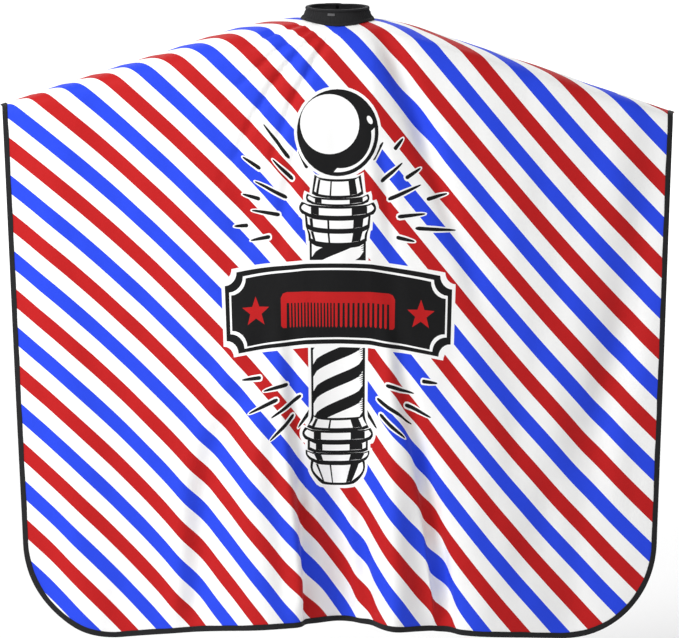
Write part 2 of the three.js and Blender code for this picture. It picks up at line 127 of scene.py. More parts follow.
def drape(u, v):
    """The middle of the cloth where it hangs, from a place on the flat cloth."""
    across = np.abs(u)
    side = np.sign(u)
    # The shoulders' slope, how far their ridge wanders forwards, and how far the front's sides lean
    # in, each for the left and the right.
    start, slope, wander, side_lean = (
        np.where(u < 0, left, right)
        for left, right in ((140, 108), (0.315, 0.325), (0.32, 0.345), (54, 42))
    )
    ridge_x = 0.966 * u
    ridge_z = -slope * (ramp(across - start, 60) - ramp(-start, 60))
    shift = wander * (ramp(across - 110, 50) - ramp(-110, 50))
    outer = np.clip((across - NECK_RADIUS) / (PANEL_WIDTH / 2 - NECK_RADIUS), 0, 1.1)
    bend = lerp(163.0, 40.0, outer)
    forward, down = hang(v - shift, bend)
    fallen = np.clip((v - 100) / (FRONT_LENGTH - 100), 0, 1.05)
    front = np.stack([
        ridge_x - side_lean * fallen * np.tanh(u / 280),
        -forward + fold_depth(u, v, FRONT_FOLDS),
        ridge_z - down,
    ], axis=-1)
    forward, down = hang(shift - v, bend)
    lean = math.radians(26) * smooth(across / (PANEL_WIDTH / 2), 0, 1.05)
    lap = -side * 3.5 * bump(u, 90) * smooth(-v, 0, 50)
    wave = 20 * smooth(down, 20, 520) * np.cos(2 * math.pi * (across - 20) / 230) * smooth(across, 0, 90)
    back = np.stack([
        ridge_x - side * np.sin(lean) * down,
        forward + lap + wave,
        ridge_z - np.cos(lean) * down,
    ], axis=-1)
    return np.where((v >= shift)[..., None], front, back)


def beside(u, v, line):
    """Distance to the right of a line of points on the flat cloth, and share of the way along it."""
    line = np.asarray(line, dtype=float)
    lengths = np.concatenate([[0], np.cumsum(np.linalg.norm(np.diff(line, axis=0), axis=1))])
    best = np.full(u.shape, 1e9)
    signed = np.zeros_like(u)
    along = np.zeros_like(u)
    last = len(line) - 2
    for i, (a, b, run) in enumerate(zip(line, line[1:], lengths)):
        du, dv = b - a
        size = math.hypot(du, dv)
        t = ((u - a[0]) * du + (v - a[1]) * dv) / size ** 2
        # The first and the last step run on past the line's ends.
        t = np.clip(t, -1e9 if i == 0 else 0, 1e9 if i == last else 1)
        away_u, away_v = u - a[0] - t * du, v - a[1] - t * dv
        gap = np.hypot(away_u, away_v)
        nearer = gap < best
        best = np.where(nearer, gap, best)
        signed = np.where(nearer, gap * np.sign(away_u * dv - away_v * du), signed)
        along = np.where(nearer, (run + t * size) / lengths[-1], along)
    return signed, along


BANK_STEEPNESS = 1.65

# Folds and creases of the cloth itself. A ridge stands out along its line and a hollow stands in, and
# a bank falls from its line's left to its right. Each has its line, its half width, and its heights
# from the line's start to its end.
CREASES = [
    ("bank", [(-118, 730), (-115, 830), (-110, 933), (-98, 1073), (-90, 1195), (-88, 1288)],
     25, (5, 19, 32)),
    ("bank", [(125, 708), (142, 825), (170, 925), (200, 1048), (225, 1168), (245, 1278)],
     25, (6, 17, 27)),
    ("bank", [(32, 988), (42, 1080), (55, 1180), (70, 1285)], 18, (4, 13)),
    ("bank", [(-222, 768), (-265, 845), (-305, 915), (-330, 1003), (-345, 1103), (-360, 1223)],
     34, (4, 13, 14)),
    ("ridge", [(-175, 830), (-190, 908), (-200, 1028), (-195, 1148)], 32, (3, 11, 11, 5)),
    ("hollow", [(668, 458), (648, 598), (612, 703), (570, 805), (532, 908), (498, 988), (465, 1090)],
     45, (3, 9, 11, 7)),
    ("hollow", [(100, 120), (120, 153), (142, 198), (165, 248), (198, 325), (225, 413), (260, 500),
                (298, 593)], 18, (4, 11, 11, 7, 4, 1)),
    ("hollow", [(-72, 283), (-98, 370), (-118, 450), (-132, 555)], 16, (3, 8, 6, 1)),
    ("hollow", [(85, 310), (102, 378), (112, 458), (130, 550)], 16, (3, 9, 6, 1)),
    ("hollow", [(-32, 93), (-78, 133), (-130, 193), (-175, 260), (-212, 330), (-262, 405)],
     10, (6, 9, 5, 1)),
    ("hollow", [(-52, 78), (-110, 120), (-182, 180), (-242, 228)], 9, (5, 8, 4, 1)),
    ("hollow", [(-15, 100), (-52, 163), (-95, 233), (-135, 330), (-165, 430)], 10, (6, 9, 5, 1)),
    ("hollow", [(-78, 60), (-140, 90), (-202, 130)], 9, (5, 7, 1)),
    ("ridge", [(92, 83), (152, 100), (215, 113), (275, 125), (348, 143)], 12, (1, 3.5, 3, 1)),
]


def crease_lift(u, v):
    """How far the creases lift the cloth outwards. Each fades out past the ends of its line."""
    total = np.zeros_like(u)
    for kind, line, width, heights in CREASES:
        distance, along = beside(u, v, line)
        height = np.interp(along, np.linspace(0, 1, len(heights)), heights)
        height = height * smooth(along, -0.3, 0.05) * (1 - smooth(along, 1.0, 1.3))
        x = distance / width
        if kind == "bank":
            total = total - height * BANK_STEEPNESS * x * np.exp(-x * x)
        else:
            total = total + (height if kind == "ridge" else -height) * np.exp(-x * x)
    return total


def ripples(u, v):
    """Shallow unevenness all over the cloth, longer down it than across it."""
    grow = smooth(v, 60, 420)
    total = np.zeros_like(u)
    for k, (length, lean, size) in enumerate([
        (310, 0.20, 1.6), (233, -0.35, 1.3), (171, 0.12, 1.0), (127, -0.22, 0.7),
        (89, 0.31, 0.45), (61, -0.15, 0.25),
    ]):
        drift = 22 * np.sin(v / (150 + 23 * k) + 1.7 * k)
        total = total + size * np.sin(2 * math.pi * (u + lean * v + drift) / length + 2.1 * k)
    return total * (0.35 + 0.65 * grow)


def unit(vectors):
    return vectors / np.linalg.norm(vectors, axis=-1, keepdims=True)


def surface_normals(place, u, v, step=1.0):
    """Directions that the outer face of a surface looks in, from its own slopes.

    Slopes are never taken across u = 0, so each half of the slit keeps to its own side.
    """
    same_side = np.where(np.abs(u) < step, 0.0, step)
    u_low = np.where(u < 0, u - step, u - same_side)
    u_high = np.where(u < 0, u + same_side, u + step)
    along_u = place(u_high, v) - place(u_low, v)
    along_v = place(u, v + step) - place(u, v - step)
    return unit(np.cross(along_v, along_u))


def cloth(u, v):
    """The cloth's middle surface with its creases and ripples."""
    base = drape(u, v)
    normal = surface_normals(drape, u, v, 2.0)
    distance = np.hypot(u, v)
    edge = np.minimum(PANEL_WIDTH / 2 - np.abs(u), np.minimum(FRONT_LENGTH - v, v + BACK_LENGTH))
    free = smooth(distance, 76, 104) * lerp(0.35, 1.0, smooth(edge, 0, 60))
    lift = free * (ripples(u, v) + crease_lift(u, v))
    return base + normal * lift[..., None]


# ---- The stand collar's wall --------------------------------------------------------------------

RIM_HEIGHT = 24.0
RIM_TAPER = 0.84
FOOT_FLARE = 1.5
BAND_INSIDE = 1.5
BAND_OUTSIDE = 2.7


def neck_reach(angle):
    """The neck hole's radius at an angle from its front: round, but flattened at its back."""
    power = 14
    flat = np.maximum(-np.cos(angle), 0) / NECK_BACK
    return (NECK_RADIUS ** -power + flat ** power) ** (-1 / power)


def neck_point(angle, extra=0.0):
    """A place on the flat cloth at the neck hole's edge, or extra outside it."""
    reach = neck_reach(angle) + extra
    return reach * np.sin(angle), reach * np.cos(angle)


SLIT_ANGLE = math.pi - math.asin(SLIT_HALF / NECK_BACK)


def collar_foot(angle):
    return drape(*neck_point(angle))


def collar_point(angle, share, offset=0.0):
    """A place on the collar: share is 0 at its foot and 1 at its rim, offset outwards in plan."""
    angle, share, offset = np.broadcast_arrays(
        *(np.asarray(x, dtype=float) for x in (angle, share, offset))
    )
    foot = collar_foot(angle)
    turn = np.where(angle < 0, 0.01, -0.01)
    along = (collar_foot(angle + turn) - foot) * np.sign(turn)[..., None]
    out = unit(np.stack([along[..., 1], -along[..., 0], np.zeros_like(angle)], axis=-1))
    size = RIM_TAPER + (1 - RIM_TAPER) * np.maximum(1 - share, 0) ** FOOT_FLARE
    place = foot * size[..., None]
    place[..., 2] = lerp(foot[..., 2], RIM_HEIGHT, share)
    return place + out * offset[..., None]


def collar_height(angle):
    return RIM_HEIGHT - collar_foot(angle)[..., 2]


def panel_place(u, v):
    """The cloth, with the part inside the neck hole turned up inside the collar."""
    angle = np.arctan2(u, v)
    inside = neck_reach(angle) - np.hypot(u, v)
    turned = collar_point(angle, np.clip(inside, 0, None) / collar_height(angle))
    return np.where((inside > 0)[..., None], turned, cloth(u, v))


# ---- Meshes -------------------------------------------------------------------------------------


def new_piece(name, points, faces, materials, uv=None, material_index=None, normals=None):
    """A piece from points in millimetres. uv and normals have one row for each face corner."""
    mesh = bpy.data.meshes.new(name)
    mesh.from_pydata((np.asarray(points) * MM).tolist(), [], faces)
    for material in materials:
        mesh.materials.append(material)
    if material_index is not None:
        mesh.polygons.foreach_set("material_index", np.asarray(material_index, dtype=np.int32))
    if uv is not None:
        layer = mesh.uv_layers.new(name="cut")
        layer.uv.foreach_set("vector", np.asarray(uv, dtype=np.float32).ravel())
    mesh.polygons.foreach_set("use_smooth", [True] * len(mesh.polygons))
    if normals is not None:
        mesh.normals_split_custom_set(normals)
    mesh.update()
    piece = bpy.data.objects.new(name, mesh)
    bpy.context.scene.collection.objects.link(piece)
    return piece


def strip(name, rings, materials, lengths, widths):
    """A strip swept through rings of points, rings[i][k], with caps on its two ends."""
    rings = np.asarray(rings)
    count, sides = rings.shape[:2]
    faces, uv = [], []
    for i in range(count - 1):
        for k in range(sides):
            n = (k + 1) % sides
            faces.append((i * sides + k, i * sides + n, (i + 1) * sides + n, (i + 1) * sides + k))
            wk, wn = widths[k], widths[k + 1]
            uv += [(lengths[i], wk), (lengths[i], wn), (lengths[i + 1], wn), (lengths[i + 1], wk)]
    faces.append(tuple(range(sides - 1, -1, -1)))
    uv += [(lengths[0], widths[k]) for k in range(sides - 1, -1, -1)]
    last = (count - 1) * sides
    faces.append(tuple(last + k for k in range(sides)))
    uv += [(lengths[-1], widths[k]) for k in range(sides)]
    uv = np.asarray(uv) * MM
    return new_piece(name, rings.reshape(-1, 3), faces, materials, uv)


def face_outwards(piece):
    """Turns every face of a closed piece outwards."""
    bpy.ops.object.select_all(action="DESELECT")
    bpy.context.view_layer.objects.active = piece
    piece.select_set(True)
    bpy.ops.object.mode_set(mode="EDIT")
    bpy.ops.mesh.select_all(action="SELECT")
    bpy.ops.mesh.normals_make_consistent(inside=False)
    bpy.ops.object.mode_set(mode="OBJECT")
    piece.select_set(False)


# ---- Finishes -----------------------------------------------------------------------------------


def finish(name, color, roughness, metallic=0.0, sheen=0.0, specular=0.5):
    material = bpy.data.materials.new(name)
    material.use_nodes = True
    shader = material.node_tree.nodes["Principled BSDF"]
    shader.inputs["Base Color"].default_value = (*color, 1)
    shader.inputs["Roughness"].default_value = roughness
    shader.inputs["Metallic"].default_value = metallic
    shader.inputs["Sheen Weight"].default_value = sheen
    shader.inputs["Specular IOR Level"].default_value = specular
    return material


class Pattern:
    """Nodes that read one set of coordinates, in millimetres, and shape a finish."""

    def __init__(self, material, coordinates="UV"):
        self.tree = material.node_tree
        self.shader = self.tree.nodes["Principled BSDF"]
        source = self.tree.nodes.new("ShaderNodeTexCoord")
        self.mapping = self.tree.nodes.new("ShaderNodeMapping")
        self.mapping.inputs["Scale"].default_value = (1 / MM, 1 / MM, 1 / MM)
        self.tree.links.new(source.outputs[coordinates], self.mapping.inputs["Vector"])
        self.place = self.mapping.outputs["Vector"]
        self.normal = None

    def link(self, value, socket):
        if isinstance(value, bpy.types.NodeSocket):
            self.tree.links.new(value, socket)
        else:
            socket.default_value = value

    def math(self, operation, a, b=0.0, clamp=False):
        node = self.tree.nodes.new("ShaderNodeMath")
        node.operation = operation
        node.use_clamp = clamp
        self.link(a, node.inputs[0])
        self.link(b, node.inputs[1])
        return node.outputs[0]

    def bands(self, period, direction="X"):
        node = self.tree.nodes.new("ShaderNodeTexWave")
        node.wave_type = "BANDS"
        node.bands_direction = direction
        node.inputs["Scale"].default_value = math.pi / 10 / period
        node.inputs["Distortion"].default_value = 0
        self.link(self.place, node.inputs["Vector"])
        return node.outputs["Fac"]

    def noise(self, size, detail=3.0, stretch=(1, 1, 1)):
        place = self.place
        if stretch != (1, 1, 1):
            node = self.tree.nodes.new("ShaderNodeMapping")
            node.inputs["Scale"].default_value = stretch
            self.link(self.place, node.inputs["Vector"])
            place = node.outputs["Vector"]
        node = self.tree.nodes.new("ShaderNodeTexNoise")
        node.inputs["Scale"].default_value = 1 / size
        node.inputs["Detail"].default_value = detail
        node.inputs["Roughness"].default_value = 0.55
        self.link(place, node.inputs["Vector"])
        return node.outputs["Fac"]

    def span(self, value, low, high):
        node = self.tree.nodes.new("ShaderNodeMapRange")
        self.link(value, node.inputs["Value"])
        node.inputs["To Min"].default_value = low
        node.inputs["To Max"].default_value = high
        return node.outputs["Result"]

    def raised(self, height, distance, strength=1.0):
        node = self.tree.nodes.new("ShaderNodeBump")
        node.inputs["Distance"].default_value = distance
        node.inputs["Strength"].default_value = strength
        self.link(height, node.inputs["Height"])
        if self.normal is not None:
            self.link(self.normal, node.inputs["Normal"])
        self.normal = node.outputs["Normal"]
        self.link(self.normal, self.shader.inputs["Normal"])

    def tint(self, fac, dark, light):
        node = self.tree.nodes.new("ShaderNodeMix")
        node.data_type = "RGBA"
        self.link(fac, node.inputs["Factor"])
        node.inputs["A"].default_value = (*dark, 1)
        node.inputs["B"].default_value = (*light, 1)
        self.link(node.outputs["Result"], self.shader.inputs["Base Color"])

    def lengths(self):
        """The distances along a piece and across it."""
        node = self.tree.nodes.new("ShaderNodeSeparateXYZ")
        self.link(self.place, node.inputs[0])
        return node.outputs["X"], node.outputs["Y"]

    def stitches(self, along, pitch, off_row, width):
        """Stitches in a row, from the distance along it and the distance off it."""
        phase = self.math("FRACT", self.math("DIVIDE", along, pitch))
        on = self.math("LESS_THAN", self.math("ABSOLUTE", self.math("SUBTRACT", phase, 0.5)), 0.38)
        near = self.math("SUBTRACT", 1.0, self.math("DIVIDE", off_row, width), clamp=True)
        return self.math("MULTIPLY", on, near)

    def rough(self, fac, low, high):
        self.link(self.span(fac, low, high), self.shader.inputs["Roughness"])


def shade_of(color, amount):
    return tuple(c * amount for c in color)


def woven(material, thread, color, depth=0.00006, shade=0.93, soft=(0.62, 0.78)):
    """A plain weave of threads, with faint unevenness, on the cloth's own flat coordinates."""
    p = Pattern(material)
    warp = p.bands(thread, "X")
    weft = p.bands(thread, "Y")
    p.tint(p.noise(38, 4), shade_of(color, shade), color)
    p.rough(p.noise(9, 2), *soft)
    p.raised(p.noise(26, 3, (1.6, 0.5, 1)), 0.0012, 0.35)
    p.raised(p.math("MULTIPLY", warp, weft), depth)
    return material


WHITE = (0.93, 0.93, 0.925)
BLUE = (0.018, 0.062, 0.77)
RED = (0.50, 0.008, 0.009)
BLACK = (0.007, 0.007, 0.0075)

white_cloth = woven(finish("white_cloth", WHITE, 0.7, sheen=0.08), 0.5, WHITE, shade=0.985)
blue_ink = woven(finish("blue_ink", BLUE, 0.65, specular=0.2), 0.5, BLUE)
red_ink = woven(finish("red_ink", RED, 0.65, specular=0.2), 0.5, RED)
black_ink = woven(finish("black_ink", BLACK, 0.7, specular=0.15), 0.5, BLACK)
REVERSE = (0.80, 0.80, 0.815)
reverse_cloth = woven(finish("reverse_cloth", REVERSE, 0.75, sheen=0.1), 0.5, REVERSE, shade=0.97)


def ribbed_tape(name, color):
    """Folded woven tape: fine ribs across it, and a row of stitches near its lip."""
    material = finish(name, color, 0.8, sheen=0.02, specular=0.15)
    p = Pattern(material)
    ribs = p.bands(0.8, "X")
    along, across = p.lengths()
    # A stitch every 3.6, in a row 1.8 inside the lip.
    off_row = p.math("ABSOLUTE", p.math("SUBTRACT", p.math("PINGPONG", across, TAPE_WIDTH), 1.8))
    thread = p.stitches(along, 3.6, off_row, 0.35)
    p.tint(p.math("MAXIMUM", thread, p.math("MULTIPLY", p.noise(6, 3), 0.35)), color,
           shade_of(color, 2.2))
    p.rough(p.noise(3, 2), 0.65, 0.85)
    p.raised(ribs, 0.00012)
    p.raised(thread, 0.0003)
    return material


TAPE = (0.013, 0.013, 0.014)
black_tape = ribbed_tape("black_tape", TAPE)


def collar_cloth(name, color):
    """Matt cloth over gathered elastic, with a fine weave and soft crinkles whose hollows carry painted
    shade and whose crests carry painted light.
    """
    material = finish(name, color, 0.85, sheen=0.03, specular=0.15)
    p = Pattern(material)
    crinkle_relief_and_shade = p.noise(2.2, 4, (1.0, 0.22, 1))
    # Painted shade and light: the noise that raises the crinkles also darkens their hollows and lightens
    # their crests.
    p.tint(crinkle_relief_and_shade, shade_of(color, 0.7), shade_of(color, 1.5))
    p.rough(p.noise(2, 2), 0.7, 0.9)
    p.raised(crinkle_relief_and_shade, 0.0007, 0.8)
    p.raised(p.math("MULTIPLY", p.bands(0.45, "X"), p.bands(0.45, "Y")), 0.00005)
    return material


COLLAR = (0.014, 0.014, 0.015)
black_cloth = collar_cloth("black_cloth", COLLAR)


# ---- The print ----------------------------------------------------------------------------------

STRIPE = 28.4
PRINT_START = 52.9
ORNAMENT_TOP = 213.0

# Each shape of the ornament is an ink and an outline, later ones printed over earlier ones.
# Its own coordinates run across from the cloth's middle line and down from the ornament's top.
ornament = []


def ink(name, outline):
    ornament.append((name, np.asarray(outline, dtype=float)))


def oval(x, y, rx, ry=None, tilt=0.0, points=40):
    t = np.linspace(0, 2 * math.pi, points, endpoint=False)
    ry = rx if ry is None else ry
    c, s = math.cos(tilt), math.sin(tilt)
    px, py = rx * np.cos(t), ry * np.sin(t)
    return np.stack([x + c * px - s * py, y + s * px + c * py], axis=-1)


def drum(top, bottom, half_top, half_bottom, bulge=0.0, dish=9.0, grow=0.0):
    """A turned length of the pole seen from a little above, its sides swelling by bulge."""
    half_top, half_bottom = half_top + grow, half_bottom + grow
    top, bottom = top - grow, bottom + grow
    t = np.linspace(-1, 1, 13)
    s = np.linspace(0, 1, 7)[1:-1]
    curve = dish * np.sqrt(1 - t ** 2)
    half = lerp(half_top, half_bottom, s) + bulge * np.sin(math.pi * s)
    y = lerp(top, bottom, s)
    upper = np.stack([half_top * t, top + curve], axis=-1)
    right = np.stack([half, y], axis=-1)
    lower = np.stack([half_bottom * t, bottom + curve], axis=-1)[::-1]
    left = np.stack([-half, y], axis=-1)[::-1]
    return np.concatenate([upper, right, lower, left])


def dash(x, y, angle, start, length, width):
    """A stroke that leaves a centre at an angle: blunt at its inner end, thin at its outer."""
    t = np.array([0, 0.03, 0.1, 0.5, 0.85, 0.97, 1.0])
    half = width / 2 * np.array([0.0, 0.7, 1.0, 0.9, 0.6, 0.35, 0.0])
    along = start + t * length
    c, s = math.cos(angle), math.sin(angle)
    left = np.stack([x + c * along - s * half, y + s * along + c * half], axis=-1)
    right = np.stack([x + c * along + s * half, y + s * along - c * half], axis=-1)
    return np.concatenate([left, right[1:-1][::-1]])


def rays(x, y, angles, starts, lengths, width):
    for name, grow in (("white", 7.0), ("black", 0.0)):
        for angle, start, length in zip(angles, starts, lengths):
            a = math.radians(angle)
            ink(name, dash(x, y, a, start - grow / 2, length + grow, width + grow))


UPPER_RAYS = 268.0  # the places on the pole that its rays leave
LOWER_RAYS = 560.0


def draw_ornament():
    right = [-60, -52, -43, -34, -26, -17, -9, 0, 9]
    starts = [150, 196, 128, 176, 122, 200, 132, 168, 130]
    lengths = [44, 30, 62, 40, 78, 46, 60, 88, 40]
    rays(0, UPPER_RAYS, right, starts, lengths, 8)
    rays(0, UPPER_RAYS, [180 - a for a in right], starts[::-1], lengths[::-1], 8)
    low = [4, 13, 22, 31, 41, 52]
    rays(0, LOWER_RAYS, low, [190, 112, 168, 104, 128, 100], [34, 66, 60, 96, 70, 46], 8)
    rays(0, LOWER_RAYS, [180 - a for a in low], [176, 118, 150, 98, 134, 96], [44, 58, 72, 84, 78, 52], 8)

    # The pole: a white edge round everything, then black, then the white faces.
    half = 62.0
    lengths = [
        (168, 206, 50, 56, 0.0), (206, 222, 66, 66, 3.0), (222, 246, 78, 78, 6.0),
        (246, 272, 72, 70, 0.0), (272, 300, 70, 64, -2.0), (300, 660, half, half, 0.0),
        (650, 676, half, 72, -2.0), (676, 700, 76, 76, 6.0), (700, 722, 70, 70, 0.0),
        (722, 742, 74, 66, 3.0), (742, 788, 62, 44, 9.0),
    ]
    ink("white", oval(0, 84, 93))
    for part in lengths:
        ink("white", drum(*part, grow=6.0))
    ink("black", oval(0, 84, 87))
    for part in lengths:
        ink("black", drum(*part))

    # The ball: a large light on its left, a rim of light low on its right.
    ink("white", oval(-17, 67, 63, 60))
    t = np.linspace(math.radians(-8), math.radians(96), 22)
    outer = np.stack([79 * np.cos(t), 84 + 79 * np.sin(t)], axis=-1)
    inner = np.stack([6 + 66 * np.cos(t), 89 + 66 * np.sin(t)], axis=-1)
    ink("white", np.concatenate([outer, inner[::-1]]))
    ink("white", oval(68, 58, 5, 9, -0.5))

    # The glass: black bands that wind up it, between white ones with a few strokes of shade.
    glass = half - 5
    ink("white", drum(306, 652, glass, glass))
    x = np.linspace(-glass, glass, 15)
    turn = np.arcsin(np.clip(x / glass, -1, 1)) / math.pi
    band_pitch, band_rise, band_depth = 54, 66, 25
    for k in range(8):
        start = 300 + band_pitch * k
        upper = start - band_rise * turn
        ink("black", np.concatenate([
            np.stack([x, upper], axis=-1),
            np.stack([x, upper + band_depth], axis=-1)[::-1],
        ]))
        for m in range(6):
            reach = 13 - 1.7 * m
            y = start - 5 + m * 4.4
            ink("black", [(glass, y), (glass - reach, y + reach * 0.5), (glass, y + 2.4)])

    # The turned rings, each with a black edge, a lit face and bold strokes of shade.
    for top, bottom, half_top, half_bottom, bulge in lengths[:5] + lengths[6:]:
        line = 5.0 if bottom - top > 20 else 4.0
        half_top, half_bottom = half_top - line, half_bottom - line
        ink("black", drum(top, bottom, half_top + line, half_bottom + line, bulge))
        ink("white", drum(top + line, bottom - line, half_top, half_bottom, bulge))
        on_tall = ((-0.92, -0.82), (-0.34, -0.27), (0.52, 0.84))
        on_low = ((-0.80, -0.56), (0.42, 0.88))
        for inner, outer in on_tall if bottom - top > 25 else on_low:
            rise = [9 * math.sqrt(1 - share ** 2) for share in (inner, outer)]
            ink("black", [
                (half_top * inner, top + line + rise[0]), (half_top * outer, top + line + rise[1]),
                (half_bottom * outer, bottom - line + rise[1]),
                (half_bottom * inner, bottom - line + rise[0]),
            ])

    # The plate across the pole: an arched plate with scooped corners, and a white line inside it.
    for name, grow in (("white", 7), ("black", 0), ("white", -9), ("black", -13)):
        ink(name, plate(grow))
    draw_comb()
    for x in (-184, 184):
        ink("red", star(x, 441, 31))


def plate(grow):
    """The plate's outline, larger all round by grow."""
    wide, low, high, arch, scoop = 250 + grow, 360 - grow, 522 + grow, 15, 26 - grow * 0.5
    t = np.linspace(-1, 1, 33)
    reach = wide - scoop
    top = np.stack([reach * t, low - arch * (1 - t ** 2)], axis=-1)
    turn = np.linspace(0, math.pi / 2, 7)[1:-1]
    # Each scooped corner is a quarter of a circle centred on the corner itself.
    right_top = np.stack([wide - scoop * np.cos(turn), low + scoop * np.sin(turn)], axis=-1)
    right_low = np.stack([wide - scoop * np.sin(turn), high - scoop * np.cos(turn)], axis=-1)
    lower = np.stack([reach * t, high - arch * (1 - t ** 2)], axis=-1)[::-1]
    side = [(wide, low + scoop), (wide, high - scoop)]
    left_low = (right_low * (-1, 1))[::-1]
    left_top = (right_top * (-1, 1))[::-1]
    left_side = [(-wide, high - scoop), (-wide, low + scoop)]
    return np.concatenate([top, right_top, side, right_low, lower, left_low, left_side, left_top])


def star(x, y, size, points=5):
    angles = -math.pi / 2 + np.arange(2 * points) * math.pi / points
    reach = np.where(np.arange(2 * points) % 2 == 0, size, size * 0.42)
    return np.stack([x + reach * np.cos(angles), y + reach * np.sin(angles)], axis=-1)


def draw_comb():
    """A red comb across the plate: a rounded back with coarse teeth and fine teeth."""
    left, right, top, back, tip = -128.0, 128.0, 402.0, 424.0, 474.0
    coarse, fine = (4.6, 6.4), (3.2, 4.2)  # the gap before a tooth, and the tooth's width
    outline = [(left, tip - 4), (left, top + 12), (left + 5, top + 3), (left + 14, top)]
    outline += [(right - 14, top), (right - 5, top + 3), (right, top + 12), (right, tip - 4)]
    outline += [(right - 4, tip), (right - 12, tip), (right - 13, back)]
    x = right - 13
    while x > left + 24:
        gap, tooth = coarse if x > 0 else fine
        x -= gap
        outline += [(x, back), (x - 0.5, tip - 3), (x - tooth / 2, tip),
                    (x - tooth + 0.5, tip - 3), (x - tooth, back)]
        x -= tooth
    outline += [(left + 13, back), (left + 12, tip), (left + 4, tip)]
    ink("red", outline)


draw_ornament()


# ---- The printed panel --------------------------------------------------------------------------

LATTICE = STRIPE / 4
LATTICE_ALONG = 8.4
LATTICE_CLEARANCE = 3.2  # from the lattice to the outlines of the print
TURNED_UP = 6.0  # how far the cloth goes up inside the collar


def divide(loop, longest=7.0, closed=True):
    """Points along a loop or a line, so that no step is longer than given."""
    loop = np.asarray(loop, dtype=float)
    ends = np.roll(loop, -1, axis=0) if closed else loop[1:]
    out = []
    for a, b in zip(loop, ends):
        steps = max(1, math.ceil(np.linalg.norm(b - a) / longest))
        out += [a + (b - a) * (k / steps) for k in range(steps)]
    if not closed:
        out.append(loop[-1])
    return np.array(out)


def edge_line():
    """The cut edge of the flat cloth, from the slit round the left, the front and the right."""
    half = PANEL_WIDTH / 2
    quarter = np.linspace(0, math.pi / 2, 16)
    back = np.stack([-(half - BACK_CORNER) - BACK_CORNER * np.sin(quarter),
                     -(BACK_LENGTH - BACK_CORNER) - BACK_CORNER * np.cos(quarter)], axis=-1)
    quarter = np.linspace(0, math.pi / 2, 40)
    front = np.stack([-(half - FRONT_CORNER) - FRONT_CORNER * np.cos(quarter),
                      (FRONT_LENGTH - FRONT_CORNER) + FRONT_CORNER * np.sin(quarter)], axis=-1)
    left = np.concatenate([[(-SLIT_HALF, -BACK_LENGTH)], back, front])
    return np.concatenate([left, (left * (-1, 1))[::-1]])


def panel_outline():
    angles = np.linspace(SLIT_ANGLE, -SLIT_ANGLE, 80)
    neck = np.stack(neck_point(angles, -TURNED_UP), axis=-1)
    return divide(np.concatenate([edge_line(), neck]))


def inside(points, loop):
    """Which points lie inside a closed outline."""
    low, high = loop.min(axis=0), loop.max(axis=0)
    near = np.nonzero(((points >= low) & (points <= high)).all(axis=1))[0]
    x, y = points[near, 0], points[near, 1]
    odd = np.zeros(len(near), dtype=bool)
    for (ax, ay), (bx, by) in zip(loop, np.roll(loop, -1, axis=0)):
        if ay == by:
            continue
        crosses = (ay > y) != (by > y)
        odd ^= crosses & (x < ax + (y - ay) * (bx - ax) / (by - ay))
    result = np.zeros(len(points), dtype=bool)
    result[near[odd]] = True
    return result


def print_drift(u, v):
    """How far the stripes are carried across their run, at a place on the cloth.

    It is a fitted cubic surface. a and b run from -1 to 1 across the front and down it, and
    PRINT_START is its value where both are 0.
    """
    a = u / (PANEL_WIDTH / 2)
    b = v / (FRONT_LENGTH / 2) - 1
    down = b * (11.2 + b * (2.5 + 6.2 * b))
    across = a * (32.9 + b * (15.3 - 4.3 * b)) - a * a * (10.2 + 18.4 * b + 30.9 * a)
    return PRINT_START + down + across


def stripe_of(points):
    """Which stripe a place on the flat cloth lies in, counted across the stripes."""
    u, v = points[:, 0], points[:, 1]
    across = (v - u) / math.sqrt(2) - print_drift(u, v)
    return np.floor(across / STRIPE).astype(int)


